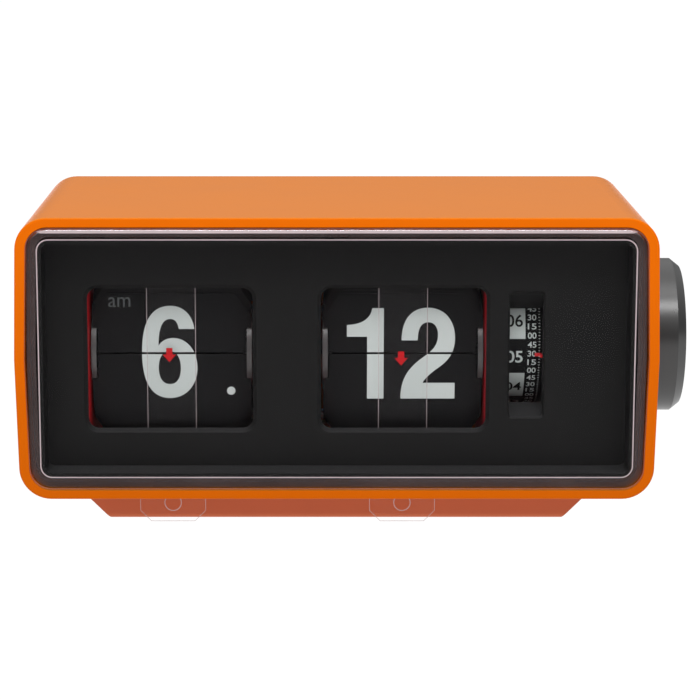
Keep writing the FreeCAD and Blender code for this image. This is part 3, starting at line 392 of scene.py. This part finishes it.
DIGITS = {  # outline loops in hundredths of the digit height: a start, then line or cubic steps
    "1": [[(22, 0), (40, 0), (40, 100), (27.5, 100), (25.5, 88, 16, 82, 0, 81.5), (0, 68.5),
           (22, 68.5)]],
    "2": [[(0, 0), (59, 0), (59, 17.5), (24, 17.5), (27, 23, 33, 28.5, 40, 33.5),
           (51, 41, 59, 50, 59, 67), (59, 87, 47, 100.5, 29.5, 100.5),
           (11, 100.5, 1, 87, 1, 64.5), (18.5, 64.5), (18.5, 78, 22.5, 84.5, 30, 84.5),
           (36.5, 84.5, 40.5, 79, 40.5, 70.5), (40.5, 59.5, 35, 53.5, 26, 47),
           (10, 35.5, 0, 24, 0, 0)]],
    "3": [[(0, 31), (18, 31), (18.5, 20, 23, 14, 30, 14), (37.5, 14, 42, 20, 42, 29),
           (42, 38.5, 37, 44, 28.5, 44), (24.5, 44), (24.5, 57.5), (28, 57.5),
           (36, 57.5, 40, 62.5, 40, 71), (40, 80, 36, 85.5, 29.5, 85.5),
           (23, 85.5, 19, 80.5, 18.5, 71), (1.5, 71), (2, 89, 13, 100.5, 30, 100.5),
           (47, 100.5, 57.5, 89.5, 57.5, 73.5), (57.5, 63, 53, 55.5, 45.5, 52),
           (54.5, 48.5, 60, 40.5, 60, 28.5), (60, 10.5, 47.5, -1.5, 29.5, -1.5),
           (11, -1.5, 0.5, 11, 0, 31)]],
    "6": [[(57, 75), (55, 91, 45, 100.5, 31, 100.5), (10, 100.5, 0, 82, 0, 48),
           (0, 16, 10, -1.5, 30, -1.5), (48, -1.5, 60, 13, 60, 32.5),
           (60, 51, 49, 65, 34, 65), (27, 65, 21.5, 62, 18, 56.5),
           (18, 75, 22, 86, 31, 86), (36, 86, 39.5, 82, 40, 75)],
          [(30, 50.5), (37.5, 50.5, 42, 43.5, 42, 32), (42, 20.5, 37.5, 14, 30, 14),
           (22.5, 14, 18, 20.5, 18, 32), (18, 43.5, 22.5, 50.5, 30, 50.5)]],
    "7": [[(0, 98.5), (58, 98.5), (58, 84), (38, 60, 28, 32, 26.5, 0), (7.5, 0),
           (9, 30, 22, 62, 39, 81.5), (0, 81.5)]],
}
SPLIT = 49.4            # z of the line between the upper and the lower leaves
DIGIT_HEIGHT = 26.4
LIFT = 0.03             # a print stands this far off its leaf
GAP = 0.3               # left clear on each side of the split line
UNITS = {               # digits, their left edges and the z of their middle: now, then next
    "hour": (("6", [-55.7], 0.45), ("7", [-55.4], 0.45)),
    "minute": (("12", [3.0, 18.4], -0.1), ("13", [3.0, 18.4], -0.1)),
}
AM_X, AM_Z = -62.0, 14.85
AM_TYPE, AM_WIDTH, AM_HEIGHT = 3.9, 6.3, 2.9
DOT_RADIUS, DOT_X, DOT_Z = 1.2, -30.2, -11.0


def number(text, left_edges, middle):
    """Big number as one flat mesh, with its height measured from the split line."""
    scale = DIGIT_HEIGHT / 100
    return merge([filled([[(left + x * scale, middle - DIGIT_HEIGHT / 2 + y * scale)
                           for x, y in curved(loop)] for loop in DIGITS[digit]])
                  for digit, left in zip(text, left_edges)])


def am_mark(y):
    mesh = text_mesh("am", AM_TYPE, AM_WIDTH, AM_HEIGHT)
    return facing_front(mesh, y, x=AM_X, z=SPLIT + AM_Z)


for unit, (now, following) in UNITS.items():
    front = depths(unit + "_front_leaf")[0] - LIFT
    back = depths(unit + "_flap")[1] + LIFT
    behind = depths(unit + "_next_leaf")[0] - LIFT
    flap_body = unit + "_flap_body"
    upper_now = keep_half(number(*now), GAP, True)
    place(unit + "_flap_digit", facing_front(upper_now, front, z=SPLIT), flap_body, WHITE)
    lower_next = keep_half(number(*following), -GAP, False)
    lower_next.transform(Matrix.Scale(-1, 4, (0, 1, 0)))    # upside down, on the flap's back
    place(unit + "_flap_rear_digit", facing_front(lower_next, back, z=SPLIT), flap_body, WHITE)
    lower_now = keep_half(number(*now), -GAP, False)
    place(unit + "_front_digit", facing_front(lower_now, front, z=SPLIT), "case", WHITE)
    upper_next = keep_half(number(*following), GAP, True)
    place(unit + "_next_digit", facing_front(upper_next, behind, z=SPLIT), "case", WHITE)
    if unit == "hour":
        place("hour_flap_am", am_mark(front), flap_body, DIM)
        place("hour_next_am", am_mark(behind), "case", DIM)

front = depths("hour_front_leaf")[0] - LIFT
front_dot = filled([circle(DOT_RADIUS, DOT_X, DOT_Z)])
place("hour_dot", facing_front(front_dot, front, z=SPLIT), "case", WHITE)
back = depths("hour_flap")[1] + LIFT
rear_dot = facing_front(filled([circle(DOT_RADIUS, DOT_X, -DOT_Z)]), back, z=SPLIT)
rear_dot.flip_normals()
place("hour_rear_dot", rear_dot, "hour_flap_body", WHITE)

# ------------------------------------------------------------------ packing films

ARROW_SHAPE = [(-0.9, 0), (-0.9, -1.9), (-1.9, -1.9), (0, -4.1), (1.9, -1.9), (0.9, -1.9),
               (0.9, 0)]
ARROWS = {"hour": (-47.75, 51.3), "minute": (18.5, 50.3)}       # x and z of an arrow's top
STRIP_SIDE = ((6.93, 71.3), (6.93, 11.2), (9.4, 8.8), (9.4, 3.45), (6.3, 0.35), (0, 0.35))
STRIP_EDGE = 0.17       # width of the pale line painted as the highlight on the film's edge
# HOLE_EDGE is the width of the painted highlight round the film's hole
HOLE_RADIUS, HOLE_Z, HOLE_EDGE = 2.38, 5.8, 0.26
FILM_LIFT = 0.02

for unit, (arrow_x, arrow_top) in ARROWS.items():
    film_front = depths(unit + "_transport_strip")[0] - FILM_LIFT
    arrow = facing_front(filled([ARROW_SHAPE]), film_front, x=arrow_x, z=arrow_top)
    place(unit + "_strip_arrow", arrow, unit + "_strip_body", ARROW)

# painted highlights along the film's sides and round its hole
for unit in ARROWS:
    low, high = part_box(unit + "_transport_strip")
    film_front = low.y / MM - FILM_LIFT
    middle_x = (low.x + high.x) / 2 / MM
    lines = [band([(middle_x + side * x, z) for x, z in STRIP_SIDE], STRIP_EDGE)
             for side in (-1, 1)]
    lines.append(band(circle(HOLE_RADIUS, middle_x, HOLE_Z, 40), HOLE_EDGE, closed=True))
    place(unit + "_strip_edge_highlights", facing_front(merge(lines), film_front), unit + "_strip_body",
          SHEEN)

# ------------------------------------------------------------------ painted highlights, glow and reflection in the clear front

MIDDLE_Z = 51.4         # mid height of the casing, also the axis of the alarm wheel
# painted reflection of the lamp above on the cover's top edge, as an outline in mm
TOP_LIGHT = [(-82, 87.0), (82, 87.0), (83.2, 87.4), (82, 87.85), (-82, 87.85), (-83.2, 87.4)]


def rounded(half, low, high, corner, bulge):
    """Rounded rectangle round x = 0 as a line of points, wider by a bulge at mid height."""
    steps = 8
    points = []
    for cx, cz, start in ((half - corner, high - corner, 0), (corner - half, high - corner, 90),
                          (corner - half, low + corner, 180), (half - corner, low + corner, 270)):
        for i in range(steps + 1):
            a = math.radians(start + 90 * i / steps)
            points.append((cx + corner * math.cos(a), cz + corner * math.sin(a)))
        if start in (90, 270) and bulge:
            points.append((math.copysign(half + bulge, cx), MIDDLE_Z))
    return points


def frame_line(name, finish, y, half, low, high, corner, width, bulge=0.0):
    """Flat line of a width round the front, along a rounded rectangle, for painted highlights and
    glow.
    """
    grow = width / 2
    outer = rounded(half + grow, low - grow, high + grow, corner + grow, bulge)
    inner = rounded(half - grow, low + grow, high - grow, corner - grow, bulge)
    place(name, facing_front(filled([outer, inner]), y), "case", finish)


# painted highlight: light line along the inner edge of the cover's wall, at the mask
frame_line("mask_edge_painted_highlight", LINE, y=-45.1, half=83.35, low=17.25, high=84.95, corner=3.25,
           width=0.34)
# painted glow over the band of the cover
frame_line("lens_band_painted_glow", GLOW, y=-44.9, half=84.9, low=15.7, high=86.9, corner=4.8,
           width=2.5, bulge=0.5)
# painted reflection on the cover's top edge
place("lens_top_painted_reflection", facing_front(filled([TOP_LIGHT]), -46.7), "case", LINE)
# painted highlight: pinkish-white line along the cover's outer edge
frame_line("lens_outer_painted_highlight", DULL, y=-46.6, half=86.35, low=14.35, high=88.25, corner=6.0,
           width=0.3, bulge=0.9)

# ------------------------------------------------------------------ alarm wheel print

WHEEL_Y, WHEEL_R = -7.5, 20.0
FIVE = -20.8            # degrees of five o'clock at rest, counted upwards from the front
HOUR_TURN, QUARTER_TURN = 30, 7.5
NUMERAL_TURN = 12.3     # from an hour's own line up to the middle of its numeral
BLOCK_X, HOUR_X, QUARTER_X = (47.7, 54.1), 51.0, 56.0
HOUR_WIDTH, HOUR_HEIGHT, HOUR_BOLD = 4.75, 3.6, 0.07
QUARTER_WIDTH, QUARTER_HEIGHT, QUARTER_BOLD = 2.5, 1.75, 0.04
TICKS = ((0.0, 57.85, 58.3, 0.12), (2.5, 57.9, 58.3, 0.1),      # degrees past the quarter,
         (5.0, 57.9, 58.3, 0.1))                                # x from and to, half width
BLOCK_LIFT, SMALL_LIFT, HOUR_LIFT = 0.03, 0.04, 0.06


def on_wheel(mesh, degrees, lift, x=0.0):
    """Wraps a flat mesh (y along the rim) round the alarm wheel at an angle, in metres."""
    radius = WHEEL_R + lift
    for v in mesh.vertices:
        a = math.radians(degrees) + v.co.y / WHEEL_R
        v.co = Vector((v.co.x + x, WHEEL_Y - radius * math.cos(a),
                       MIDDLE_Z + radius * math.sin(a)))
    mesh.transform(Matrix.Scale(MM, 4))
    return mesh


def patch(x0, x1, half, steps=1):
    """Flat rectangle cut into steps along y, so that it can follow the rim."""
    bm = bmesh.new()
    rows = []
    for i in range(steps + 1):
        y = -half + 2 * half * i / steps
        rows.append([bm.verts.new((x0, y, 0)), bm.verts.new((x1, y, 0))])
    for a, b in zip(rows, rows[1:]):
        bm.faces.new((a[0], a[1], b[1], b[0]))
    mesh = bpy.data.meshes.new("patch")
    bm.to_mesh(mesh)
    bm.free()
    return mesh


blocks, even_hours, odd_hours, quarters = [], [], [], []
for hour in range(1, 13):
    start = FIVE + HOUR_TURN * (hour - 5)
    middle = start + NUMERAL_TURN
    numeral = text_mesh("%02d" % hour, HOUR_HEIGHT, HOUR_WIDTH, HOUR_HEIGHT, HOUR_BOLD)
    if hour % 2 == 0:
        block = patch(*BLOCK_X, math.radians(HOUR_TURN) * WHEEL_R / 2, steps=10)
        blocks.append(on_wheel(block, middle, BLOCK_LIFT))
    (odd_hours if hour % 2 else even_hours).append(
        on_wheel(numeral, middle, HOUR_LIFT, x=HOUR_X))
    for quarter in range(4):
        angle = start + QUARTER_TURN * quarter
        numeral = text_mesh("%02d" % (15 * quarter), QUARTER_HEIGHT, QUARTER_WIDTH,
                            QUARTER_HEIGHT, QUARTER_BOLD)
        quarters.append(on_wheel(numeral, angle, SMALL_LIFT, x=QUARTER_X))
        for turn, x0, x1, half in TICKS:
            quarters.append(on_wheel(patch(x0, x1, half), angle + turn, SMALL_LIFT))
place("alarm_blocks", merge(blocks), "alarm_body", WHITE)
place("alarm_even_hours", merge(even_hours), "alarm_body", INK)
place("alarm_odd_hours", merge(odd_hours), "alarm_body", WHITE)
place("alarm_quarters", merge(quarters), "alarm_body", WHITE)

# ------------------------------------------------------------------ stage, light, camera

FLOOR_HALF = 6
FLOOR_GLOW = 1.02       # keeps the floor as white as the room from every side
SKY_HEIGHTS, SKY_STRENGTHS = (0.1, 0.8), (0.24, 1.15)   # dim at the horizon, bright above
LIGHTS = (              # name, place, width and depth, watts
    ("top_box", (-0.1, -0.05, 1.2), (1.0, 0.6), 3.6),
    ("front_box", (0.1, -1.0, 1.35), (1.2, 0.4), 9.5),
)
LIT_POINT = (0, 0, 0.05)
CAMERA_PLACE, CAMERA_DOWN = (-0.00482, -0.74357, 0.19016), 11.04
CAMERA_LENS, CAMERA_SENSOR, CAMERA_SHIFT, CAMERA_NEAR = 131.05, 36, 0.0435, 0.01

floor_mesh = bpy.data.meshes.new("floor")
bm = bmesh.new()
bmesh.ops.create_grid(bm, x_segments=1, y_segments=1, size=FLOOR_HALF)
bm.to_mesh(floor_mesh)
bm.free()
white = bpy.data.materials.new("floor_white")
white.use_nodes = True
for socket, value in (("Base Color", (0.02, 0.02, 0.02, 1)), ("Roughness", 1.0),
                      ("Specular IOR Level", 0.0), ("Emission Color", (1, 1, 1, 1)),
                      ("Emission Strength", FLOOR_GLOW)):
    white.node_tree.nodes["Principled BSDF"].inputs[socket].default_value = value
floor_mesh.materials.append(white)
stand("floor", floor_mesh)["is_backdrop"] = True

world = bpy.data.worlds.new("studio")
world.use_nodes = True
sky = world.node_tree
toward = add(sky, "TexCoord")
rise = remap(sky, height_of(sky, toward.outputs["Generated"]), SKY_HEIGHTS, SKY_STRENGTHS)
sky.links.new(rise, sky.nodes["Background"].inputs["Strength"])
sky.nodes["Background"].inputs["Color"].default_value = (1, 1, 1, 1)
bpy.context.scene.world = world

for name, spot, size, watts in LIGHTS:
    lamp = bpy.data.lights.new(name, "AREA")
    lamp.shape = "RECTANGLE"
    lamp.size, lamp.size_y = size
    lamp.energy = watts
    light = stand(name, lamp)
    light.location = spot
    light.rotation_euler = (Vector(LIT_POINT) - Vector(spot)).to_track_quat("-Z", "Y").to_euler()

lens = bpy.data.cameras.new("camera")
lens.sensor_width = CAMERA_SENSOR
lens.lens = CAMERA_LENS
lens.shift_x = CAMERA_SHIFT
lens.clip_start = CAMERA_NEAR
camera = stand("camera", lens)
camera.location = CAMERA_PLACE
camera.rotation_euler = (math.radians(90 - CAMERA_DOWN), 0, 0)
bpy.context.scene.camera = camera
bpy.context.scene.view_settings.view_transform = "Standard"

low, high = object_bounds()
